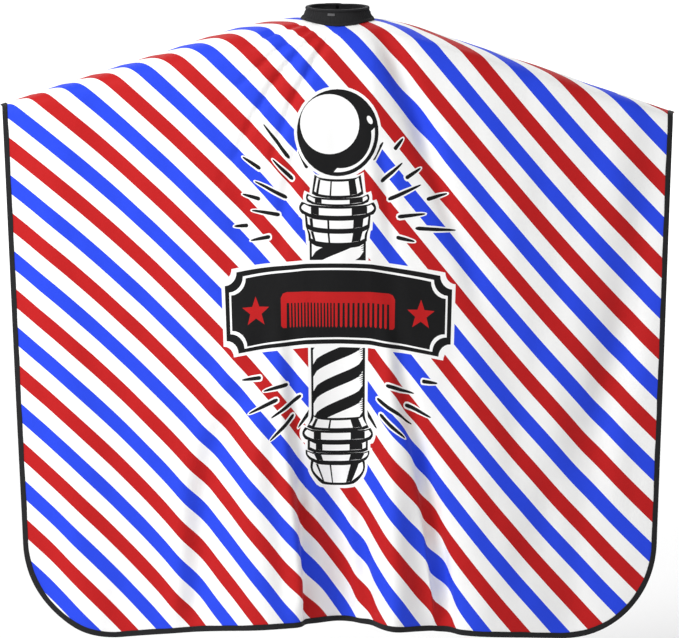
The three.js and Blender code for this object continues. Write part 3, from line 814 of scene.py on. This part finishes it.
def make_panel():
    outline = panel_outline()
    shapes = [(name, divide(shape + (0, ORNAMENT_TOP))) for name, shape in ornament]
    fixed_points, fixed_edges = [], []

    def hold(loop):
        first, count = len(fixed_points), len(loop)
        fixed_points.extend(loop)
        for k in range(count):
            fixed_edges.append((first + k, first + (k + 1) % count))

    hold(outline)
    for _, shape in shapes:
        hold(shape)
    near = KDTree(len(fixed_points))
    for i, (x, y) in enumerate(fixed_points):
        near.insert((x, y, 0), i)
    near.balance()

    # A lattice whose rows lie along the stripes, so that a stripe's edges are rows of it.
    points = list(fixed_points)
    edges = list(fixed_edges)
    reach = 2200.0
    first_row = int(-reach / LATTICE)
    for row in range(first_row, -first_row):
        along = np.arange(-reach, reach, LATTICE_ALONG) + (row % 2) * LATTICE_ALONG / 2
        across = np.full(len(along), row * LATTICE)
        # A few rounds bring each row on to its place in the print.
        for _ in range(6):
            u = (along - across) / math.sqrt(2)
            v = (along + across) / math.sqrt(2)
            across = row * LATTICE + print_drift(
                np.clip(u, -PANEL_WIDTH / 2 - 20, PANEL_WIDTH / 2 + 20),
                np.clip(v, -BACK_LENGTH - 8, FRONT_LENGTH + 12),
            )
        keep = (np.abs(u) < PANEL_WIDTH / 2 + 6) & (v > -BACK_LENGTH - 6) & (v < FRONT_LENGTH + 6)
        line = np.stack([u[keep], v[keep]], axis=-1)
        if len(line) < 2:
            continue
        is_border = row % 4 == 0
        previous = None
        for x, y in line:
            crowded = near.find((x, y, 0))[2] < LATTICE_CLEARANCE
            if crowded and not is_border:
                continue
            points.append((x, y))
            if is_border and previous is not None:
                edges.append((previous, len(points) - 1))
            previous = len(points) - 1
    flat, _, faces, *_ = delaunay_2d_cdt([Vector(p) for p in points], edges, [], 0, 1e-4, False)
    flat = np.array([tuple(p) for p in flat])
    faces = np.array([f for f in faces if len(f) == 3])
    middle = flat[faces].mean(axis=1)
    keep = inside(middle, outline)
    faces, middle = faces[keep], middle[keep]

    inks = {"white": 0, "blue": 1, "red": 2, "black": 3}
    stripe = stripe_of(middle) % 4
    colour = np.choose(stripe, [inks["blue"], inks["white"], inks["red"], inks["white"]])
    for name, shape in shapes:
        colour[inside(middle, shape)] = inks[name]

    used, faces = np.unique(faces, return_inverse=True)
    faces = faces.reshape(-1, 3)
    flat = flat[used]
    area = np.cross(flat[faces[:, 1]] - flat[faces[:, 0]], flat[faces[:, 2]] - flat[faces[:, 0]])
    faces[area > 0] = faces[area > 0][:, ::-1]
    return flat, faces, colour


def make_cape():
    flat, faces, colour = make_panel()
    u, v = flat[:, 0], flat[:, 1]
    place = panel_place(u, v)
    normal = surface_normals(panel_place, u, v)
    count = len(flat)
    outer = place + normal * CLOTH_THICKNESS / 2
    under = place - normal * CLOTH_THICKNESS / 2

    # The cut edge is every side of a triangle that has no neighbour.
    sides = np.concatenate([faces[:, [0, 1]], faces[:, [1, 2]], faces[:, [2, 0]]])
    key = np.sort(sides, axis=1) @ np.array([count, 1])
    _, where, times = np.unique(key, return_index=True, return_counts=True)
    rim = sides[where[times == 1]]
    rim_faces = np.stack([rim[:, 1], rim[:, 0], rim[:, 0] + count, rim[:, 1] + count], axis=1)

    all_faces = faces.tolist() + (faces[:, ::-1] + count).tolist() + rim_faces.tolist()
    points = np.concatenate([outer, under])
    doubled = np.concatenate([flat, flat]) * MM
    corners = np.concatenate([faces.ravel(), (faces[:, ::-1] + count).ravel(), rim_faces.ravel()])
    across = points[rim_faces]
    flat_normal = unit(np.cross(across[:, 1] - across[:, 0], across[:, 2] - across[:, 1]))
    normals = np.concatenate([
        normal[faces.ravel()], -normal[faces[:, ::-1].ravel()], np.repeat(flat_normal, 4, axis=0),
    ])
    reverse = np.full(len(faces), 4)
    index = np.concatenate([colour, reverse, np.zeros(len(rim_faces), dtype=int)])
    return new_piece(
        "cape_cloth", points, all_faces,
        [white_cloth, blue_ink, red_ink, black_ink, reverse_cloth],
        uv=doubled[corners], material_index=index, normals=normals.tolist(),
    )


cape_cloth = make_cape()
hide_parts("cape_panel")
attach(cape_cloth, "cape")

# ---- Folded tape on the cut edges ---------------------------------------------------------------

# The section of the tape: distance in from the cut edge, and lift from the middle of the cloth.
TAPE_SECTION = [
    (10.0, 0.85), (9.6, 1.0), (8.0, 1.1), (4.0, 1.15), (1.0, 1.15), (-0.4, 0.95), (-1.1, 0.5),
    (-1.3, 0.0), (-1.1, -0.5), (-0.4, -0.95), (1.0, -1.15), (4.0, -1.15), (8.0, -1.1),
    (9.6, -1.0), (10.0, -0.85), (9.9, -0.5), (1.0, -0.55), (-0.3, 0.0), (1.0, 0.55), (9.9, 0.5),
]


def running_length(points):
    steps = np.linalg.norm(np.diff(points, axis=0), axis=1)
    return np.concatenate([[0], np.cumsum(steps)])


def tape_on(name, line, inwards):
    """Folded tape along a line on the flat cloth. inwards is the direction into the cloth."""
    lengths = running_length(line)
    wander = 0.3 * np.sin(lengths / 23) + 0.2 * np.sin(lengths / 9.1 + 1)
    rings = []
    for reach, lift in TAPE_SECTION:
        inset = (reach + wander)[:, None] if reach > 5 else reach
        at = line + inwards * inset
        base = cloth(line[:, 0], line[:, 1]) if reach < 0 else cloth(at[:, 0], at[:, 1])
        if reach < 0:
            nearby = line + inwards * 2.0
            away = unit(base - cloth(nearby[:, 0], nearby[:, 1]))
            base = base + away * -reach
            normal = surface_normals(cloth, nearby[:, 0], nearby[:, 1])
        else:
            normal = surface_normals(cloth, at[:, 0], at[:, 1])
        rings.append(base + normal * lift)
    widths = [max(0.0, TAPE_WIDTH - reach) for reach, _ in TAPE_SECTION]
    widths.append(widths[0])
    piece = strip(name, np.stack(rings, axis=1), [black_tape], lengths, widths)
    face_outwards(piece)
    return piece


def inward_directions(line, middle):
    """Directions square to a line, on the side of it that faces a place in the cloth's middle."""
    along = unit(np.gradient(line, axis=0))
    inwards = np.stack([-along[:, 1], along[:, 0]], axis=-1)
    return inwards * np.sign(np.sum(inwards * (middle - line)))


edge = divide(edge_line(), 6.0, closed=False)
edge_tape = tape_on("edge_tape", edge, inward_directions(edge, np.array([0.0, 430.0])))
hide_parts("edge_binding")
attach(edge_tape, "cape")

BELOW_COLLAR = 5.5  # from the neck hole to the slit's tapes
for side, name in ((-1, "left"), (1, "right")):
    down = np.linspace(-(NECK_BACK + BELOW_COLLAR), -(BACK_LENGTH - TAPE_WIDTH - 1), 60)
    line = np.stack([np.full_like(down, side * SLIT_HALF), down], axis=-1)
    slit_tape = tape_on(f"slit_tape_{name}", line, np.tile([side * 1.0, 0.0], (len(down), 1)))
    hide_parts(f"slit_binding_{name}")
    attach(slit_tape, "cape")

# ---- The collar ---------------------------------------------------------------------------------

RING_STEPS = 900
FLAT_END = 1.62  # past this angle the collar isn't gathered, but lies flat under the studs
LAYER_DEPTH = 30.0  # from foot to rim, as the cloth's pattern counts it
ring = np.linspace(-SLIT_ANGLE, SLIT_ANGLE, RING_STEPS + 1)
ring_length = running_length(collar_point(ring, 0.5))


def gathers(length, share, angle):
    """How far the gathered cloth stands out, in soft vertical puckers and a few level folds."""
    held = smooth(share, 0.0, 0.28) * (1 - smooth(share, 0.82, 1.0)) * 0.8 + 0.2
    drift = 2.6 * np.sin(length / 13.0) + 1.7 * np.sin(length / 5.3 + 2 * share)
    size = 0.55 + 0.45 * np.sin(length / 21.0 + 0.8)
    pucker = 0.42 * size * np.sin(2 * math.pi * (length + drift + 3 * share) / 6.4)
    pucker = pucker + 0.2 * np.sin(2 * math.pi * (length - 1.4 * drift) / 2.9 + 4 * share)
    level = 0.7 * bump(share - (0.55 + 0.12 * np.sin(length / 34.0)), 0.09)
    level = level + 0.5 * bump(share - (0.28 + 0.08 * np.sin(length / 27.0 + 1)), 0.07)
    left = smooth(-angle, -0.5, 0.6)
    ends = 1 - smooth(np.abs(angle), FLAT_END, FLAT_END + 0.35)
    return ends * held * (pucker * (1 - 0.55 * left) + level * (0.25 + 0.75 * left))


def collar_layer(name, low, high, inner, outer, rows, puckered):
    """A layer of the collar between two heights, given for each angle as shares of the collar."""
    shares = np.linspace(0, 1, rows)
    section = []
    for share in shares:
        at = lerp(low, high, share)
        pucker = puckered * gathers(ring_length, at, ring)
        section.append(collar_point(ring, at, outer + pucker))
    for share in shares[::-1]:
        at = lerp(low, high, share)
        pucker = 0.5 * puckered * gathers(ring_length, at, ring)
        section.append(collar_point(ring, at, inner + pucker))
    heights = list(shares * LAYER_DEPTH) + list((2 - shares[::-1]) * LAYER_DEPTH)
    heights.append(2 * LAYER_DEPTH + (outer - inner))
    piece = strip(name, np.stack(section, axis=1), [black_cloth], ring_length, heights)
    face_outwards(piece)
    return piece


height = collar_height(ring)
near, far = BAND_INSIDE + 0.3, BAND_OUTSIDE - 0.3
low, high = 1.0 / height, 1 - 1.2 / height
collar_outer = collar_layer("collar_outer_cloth", low, high, near, far, 16, 1.0)
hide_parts("collar_band")
collar_inner = collar_layer("collar_inner_cloth", -low, high, -far, -near, 16, 0.5)
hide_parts("collar_lining")
for piece in (collar_outer, collar_inner):
    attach(piece, "cape")


def wrapped(name, angles, section, material, slot, *nodes):
    """A closed section, [share of the collar's height, offset] at each angle, swept round it."""
    rings = [collar_point(angles, share, offset) for share, offset in section]
    around = running_length(np.array([corner[len(angles) // 3] for corner in rings]))
    lengths = running_length(collar_point(angles, 0.5))
    widths = list(around) + [around[-1] + 1.0]
    piece = strip(name, np.stack(rings, axis=1), [material], lengths, widths)
    face_outwards(piece)
    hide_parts(*nodes)
    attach(piece, "cape")


# The tapes' faint unevenness, which stops under the studs.
soft = 0.16 * np.sin(ring_length / 3.1 + 1.2 * np.sin(ring_length / 11)) * (
    1 - smooth(np.abs(ring), FLAT_END, FLAT_END + 0.35)
)
wrapped(
    "collar_rim_tape", ring,
    [(1 - down / height, offset + soft * (1 if offset > 0 else -1)) for down, offset in [
        (4.0, 4.0), (3.6, 4.1), (2.2, 4.15), (0.9, 4.1), (0.25, 3.8), (0.0, 3.2), (0.0, 0.0),
        (0.0, -3.2), (0.25, -3.8), (0.9, -4.1), (2.2, -4.15), (3.6, -4.1), (4.0, -4.0),
        (4.0, -3.4), (1.0, -3.1), (1.0, 0.0), (1.0, 3.1), (4.0, 3.4),
    ]],
    black_tape, "black_tape", "collar_top_binding",
)
wrapped(
    "collar_foot_tape", ring,
    [(up / height, offset + soft) for up, offset in [
        (1.6, 3.5), (1.8, 4.2), (2.3, 4.4), (4.0, 4.45), (5.9, 4.4), (6.4, 4.3), (6.6, 3.9),
        (6.5, 3.5), (4.0, 3.4),
    ]],
    black_tape, "black_tape", "neck_seam_tape",
)

ELASTIC = (0.030, 0.030, 0.032)
ribbed_elastic = finish("ribbed_elastic", ELASTIC, 0.85, specular=0.2)
cords = Pattern(ribbed_elastic)
cords.tint(cords.noise(1.5, 3), shade_of(ELASTIC, 0.7), shade_of(ELASTIC, 1.5))
cords.raised(cords.bands(1.4, "Y"), 0.0003)
cords.raised(cords.bands(0.7, "X"), 0.0001)
cords.rough(cords.noise(3, 2), 0.8, 0.95)
core = ring[(ring > -math.radians(128)) & (ring < 1.60)]
core_top = 1 - 1.8 / collar_height(core)
core_foot = np.full_like(core, 0.43)
outside_of_core = [
    (core_foot, 0.6), (core_foot + 0.02, 0.75), (core_top - 0.02, 0.75), (core_top, 0.6),
]
wrapped(
    "elastic_core", core,
    outside_of_core + [(share, -offset) for share, offset in outside_of_core[::-1]],
    ribbed_elastic, "elastic", "collar_elastic",
)

TAG_GREY = (0.10, 0.10, 0.103)
tag_cloth = woven(finish("tag_cloth", TAG_GREY, 0.7, specular=0.3), 0.3, TAG_GREY, shade=0.8)
TAG_WIDTH, TAG_HEIGHT, TAG_MIDDLE, TAG_FOOT, TAG_CORNER = 14.0, 5.0, -12.0, 0.62, 0.8
tag_sides = np.linspace(-1, 1, 25)
tag = (TAG_MIDDLE + tag_sides * TAG_WIDTH / 2) / NECK_RADIUS / RIM_TAPER
tag_end = np.clip((1 - np.abs(tag_sides)) * TAG_WIDTH / 2, 0, TAG_CORNER) / TAG_CORNER
tag_trim = 0.5 * (1 - np.sqrt(np.clip(1 - (1 - tag_end) ** 2, 0, 1))) / collar_height(tag)
tag_low = TAG_FOOT + tag_trim
tag_high = TAG_FOOT + TAG_HEIGHT / collar_height(tag) - tag_trim
tag_middle = (tag_low + tag_high) / 2
wrapped(
    "collar_tag", tag,
    [(tag_low, 3.2), (tag_low, 3.75), (lerp(tag_low, tag_middle, 0.2), 3.9), (tag_middle, 3.95),
     (lerp(tag_high, tag_middle, 0.2), 3.9), (tag_high, 3.75), (tag_high, 3.2),
     (tag_middle, 3.15)],
    tag_cloth, "grey_tag", "collar_label",
)

# ---- The strap that closes the collar -----------------------------------------------------------

TAB_LENGTH = 41.0
TAB_HEIGHT = 22.0
TAB_TIP = 6.0  # the radius of its corners
SEWN_FROM = -30.0  # the strap's sewn end, measured like the studs from the slit's right edge
sweep_angles = np.arange(SLIT_ANGLE, 0.6, -0.002)
sweep_lengths = running_length(collar_point(sweep_angles, 0.5, BAND_OUTSIDE))


def angle_along(walked):
    """The angle at a distance along the collar's outer face from the slit's right edge."""
    return np.interp(walked, sweep_lengths, sweep_angles)


def strap_place(walked, rise, offset):
    """A place on the strap: walked along it, and rise above the middle of the collar.

    It follows the collar on each side of the slit, and runs straight across the slit.
    """
    walked, rise, offset = np.broadcast_arrays(walked, rise, offset)

    def on_right(at):
        angle = angle_along(at)
        return collar_point(angle, 0.5 + rise / collar_height(angle), offset)

    def on_left(at):
        angle = -angle_along(-2 * SLIT_HALF - at)
        return collar_point(angle, 0.5 + rise / collar_height(angle), offset)

    left, right = -2 * SLIT_HALF - 1.0, 4.0
    share = np.clip((walked - left) / (right - left), 0, 1)[..., None]
    near = np.where((walked < left)[..., None], on_left(np.minimum(walked, left)), on_left(left))
    far = np.where((walked > right)[..., None], on_right(np.maximum(walked, right)), on_right(right))
    return lerp(near, far, share)


def strap_cloth(color):
    """Doubled cloth, with a row of stitches inside its edges."""
    material = finish("strap_cloth", color, 0.85, sheen=0.03, specular=0.15)
    p = Pattern(material)
    along, across = p.lengths()
    # A stitch every 2.8, in rows 2.2 inside both edges.
    side = p.math("ABSOLUTE", p.math("SUBTRACT", p.math("PINGPONG", across, TAB_HEIGHT), TAB_HEIGHT / 2))
    off_row = p.math("ABSOLUTE", p.math("SUBTRACT", side, TAB_HEIGHT / 2 - 2.2))
    thread = p.stitches(along, 2.8, off_row, 0.4)
    p.tint(p.math("MAXIMUM", thread, p.math("MULTIPLY", p.noise(5, 3), 0.4)), color,
           shade_of(color, 2.4))
    p.rough(p.noise(3, 2), 0.75, 0.9)
    p.raised(p.noise(3, 3), 0.0005, 0.6)
    p.raised(p.math("MULTIPLY", p.bands(0.5, "X"), p.bands(0.5, "Y")), 0.00005)
    p.raised(thread, 0.0003)
    return material


straight = TAB_LENGTH - TAB_TIP
walk = np.concatenate([
    np.linspace(SEWN_FROM, straight, 120), straight + TAB_TIP * np.sin(np.linspace(0.1, 1.57, 12)),
])
into_tip = np.clip(walk - straight, 0, TAB_TIP)
half = TAB_HEIGHT / 2 - TAB_TIP + np.sqrt(TAB_TIP ** 2 - into_tip ** 2)
over = smooth(walk, -8.5, 3.5)
strap_in, strap_out = lerp(4.7, 7.35, over), lerp(6.5, 9.65, over)
# Its sewn end stands nearly as high as the collar, and covers the slit.
raised = 4.0 * (1 - smooth(walk, 2, 14))

# Its section: each point's place from its middle, 0, to its edges, -1 and 1, and its lift off the face.
OUTER_FACE = [
    (-1.0, -0.75), (-0.97, -0.15), (-0.86, 0.12), (-0.76, -0.08), (-0.4, 0.1), (0.0, 0.1),
    (0.4, 0.1), (0.76, -0.08), (0.86, 0.12), (0.97, -0.15), (1.0, -0.75),
]
INNER_FACE = [(1.0, 0.7), (0.97, 0.1), (0.76, 0.1), (0.0, 0.1), (-0.76, 0.1), (-0.97, 0.1), (-1.0, 0.7)]
section = []
for surface, face in ((strap_out, OUTER_FACE), (strap_in, INNER_FACE)):
    for t, puff in face:
        section.append(strap_place(walk, half * t + raised * max(t, 0), surface + puff))
strap_widths = [TAB_HEIGHT / 2 * (1 + t) for t, _ in OUTER_FACE]
strap_widths += [TAB_HEIGHT / 2 * (3 - t) for t, _ in INNER_FACE] + [2 * TAB_HEIGHT + 0.5]
closure_strap = strip(
    "closure_strap", np.stack(section, axis=1), [strap_cloth(COLLAR)], walk - SEWN_FROM, strap_widths
)
face_outwards(closure_strap)
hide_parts("closure_tab_inner", "closure_tab_outer")
tuple(strap_place(-7.0, 0.0, 6.5) * MM)
tuple(strap_place(1.0, 0.0, 8.5) * MM)
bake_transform(closure_strap)

# ---- Press studs --------------------------------------------------------------------------------

nickel = finish("nickel", (0.62, 0.61, 0.59), 0.28, metallic=1.0)
wear = Pattern(nickel, "Object")
wear.rough(wear.noise(0.6, 4), 0.2, 0.42)
wear.raised(wear.noise(0.35, 3), 0.00003, 0.5)
wear.tint(wear.noise(2.0, 3), (0.55, 0.54, 0.52), (0.70, 0.69, 0.67))


def turned(name, profile):
    """A turned piece about the Z axis, drawn out rim by rim from [radius, height]."""
    bpy.ops.object.select_all(action="DESELECT")
    radius, level = profile[0]
    bpy.ops.mesh.primitive_circle_add(vertices=36, radius=radius * MM, fill_type="NGON")
    piece = bpy.context.object
    piece.name = name
    bpy.ops.object.mode_set(mode="EDIT")
    bpy.ops.mesh.select_all(action="SELECT")
    bpy.ops.transform.translate(value=(0, 0, level * MM))
    for wide, high in profile[1:]:
        bpy.ops.mesh.extrude_region_move(
            TRANSFORM_OT_translate={"value": (0, 0, (high - level) * MM)}
        )
        bpy.ops.transform.resize(
            value=(wide / radius, wide / radius, 1), center_override=(0, 0, high * MM)
        )
        radius, level = wide, high
    bpy.ops.mesh.select_all(action="SELECT")
    bpy.ops.mesh.normals_make_consistent(inside=False)
    bpy.ops.mesh.faces_shade_smooth()
    bpy.ops.mesh.select_all(action="DESELECT")
    bpy.ops.mesh.edges_select_sharp(sharpness=math.radians(42))
    bpy.ops.mesh.mark_sharp()
    bpy.ops.object.mode_set(mode="OBJECT")
    piece.data.materials.append(nickel)
    return piece


# Profiles of [radius, height]. Heights are outwards from the collar's outer face.
STUD = [(4.9, 0.05), (5.0, 0.2), (5.0, 0.8), (4.7, 1.1), (3.4, 1.3), (2.4, 1.2), (1.95, 1.35),
        (2.2, 1.8), (2.2, 2.15), (1.9, 2.42), (1.2, 2.5)]
POST = [(1.3, -6.3), (1.8, -6.5), (4.0, -6.55), (4.55, -6.4), (4.8, -6.0), (4.7, -5.5), (1.25, -5.45),
        (1.2, 1.15)]
SOCKET = [(2.6, 3.2), (2.55, 2.2), (2.9, 1.85), (3.6, 1.8), (4.4, 1.9), (5.05, 2.4), (5.2, 3.0),
          (5.2, 4.3), (4.9, 4.6)]
CAP = [(1.2, 3.4), (1.2, 7.0), (5.8, 7.08), (6.0, 7.3), (6.0, 7.6), (5.7, 8.0), (4.6, 8.6),
       (3.6, 8.95), (3.2, 8.8), (1.8, 8.8), (1.5, 8.95), (0.8, 9.0)]


def face_frame(walked):
    """A frame on the collar's outer face whose Z axis looks out of it."""
    angle = angle_along(walked)
    origin = collar_point(angle, 0.5, BAND_OUTSIDE)
    along = unit(collar_point(angle - 0.02, 0.5, BAND_OUTSIDE)
                 - collar_point(angle + 0.02, 0.5, BAND_OUTSIDE))
    up = collar_point(angle, 0.6, BAND_OUTSIDE) - collar_point(angle, 0.4, BAND_OUTSIDE)
    out = unit(np.cross(up, along))
    out = out if np.dot(out, origin) > 0 else -out
    frame_matrix = Matrix([*zip(along, np.cross(out, along), out)]).to_4x4()
    frame_matrix.translation = Vector(origin * MM)
    return frame_matrix


FIRST_STUD, STUD_PITCH = 13.0, 16.0
for kind, profile, count, body in (
    ("snap_stud", STUD, 5, "cape"), ("snap_post", POST, 5, "cape"),
    ("tab_snap_socket", SOCKET, 2, "closure_tab"), ("tab_snap_cap", CAP, 2, "closure_tab"),
):
    pattern_piece = turned(kind, profile)
    for i in range(count):
        mesh = pattern_piece.data.copy()
        mesh.transform(face_frame(FIRST_STUD + STUD_PITCH * i))
        snap = bpy.data.objects.new(f"{kind}_turned_{i + 1}", mesh)
        bpy.context.scene.collection.objects.link(snap)
        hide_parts(f"{kind}_{i + 1}")
        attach(snap, body)
    bpy.data.objects.remove(pattern_piece)

# ---- Size, camera, light ------------------------------------------------------------------------

middle = Vector((0.004, -0.08, -0.5976))
elevation = math.radians(8.4)
distance = 16.0
view_width = 1.362
towards = Vector((0, -math.cos(elevation), math.sin(elevation)))
camera_data = bpy.data.cameras.new("camera")
camera = bpy.data.objects.new("camera", camera_data)
bpy.context.scene.collection.objects.link(camera)
camera.location = middle + towards * distance
camera.rotation_euler = (-towards).to_track_quat("-Z", "Y").to_euler()
camera_data.lens = camera_data.sensor_width * distance / view_width
bpy.context.scene.camera = camera

floor_finish = finish("floor", (0.9, 0.9, 0.9), 0.9)
bpy.ops.object.select_all(action="DESELECT")
bpy.ops.mesh.primitive_plane_add(size=60, location=(0, 0, -1.5))
floor = bpy.context.object
floor.name = "floor"
floor.data.materials.append(floor_finish)


def soft_light(name, place, target, size, power):
    data = bpy.data.lights.new(name, "AREA")
    data.shape = "SQUARE"
    data.size = size
    data.energy = power
    lamp = bpy.data.objects.new(name, data)
    bpy.context.scene.collection.objects.link(lamp)
    lamp.location = place
    lamp.rotation_euler = (Vector(target) - Vector(place)).to_track_quat("-Z", "Y").to_euler()


soft_light("key", (-3.0, -2.6, 2.0), (0, 0, -0.6), 1.3, 165)
soft_light("backdrop", (0, 10, 6), (0, 10, -1.5), 9, 900)
world = bpy.data.worlds.new("studio")
world.use_nodes = True
world.node_tree.nodes["Background"].inputs["Color"].default_value = (1, 1, 1, 1)
world.node_tree.nodes["Background"].inputs["Strength"].default_value = 0.52
bpy.context.scene.world = world
bpy.context.scene.view_settings.view_transform = "Standard"
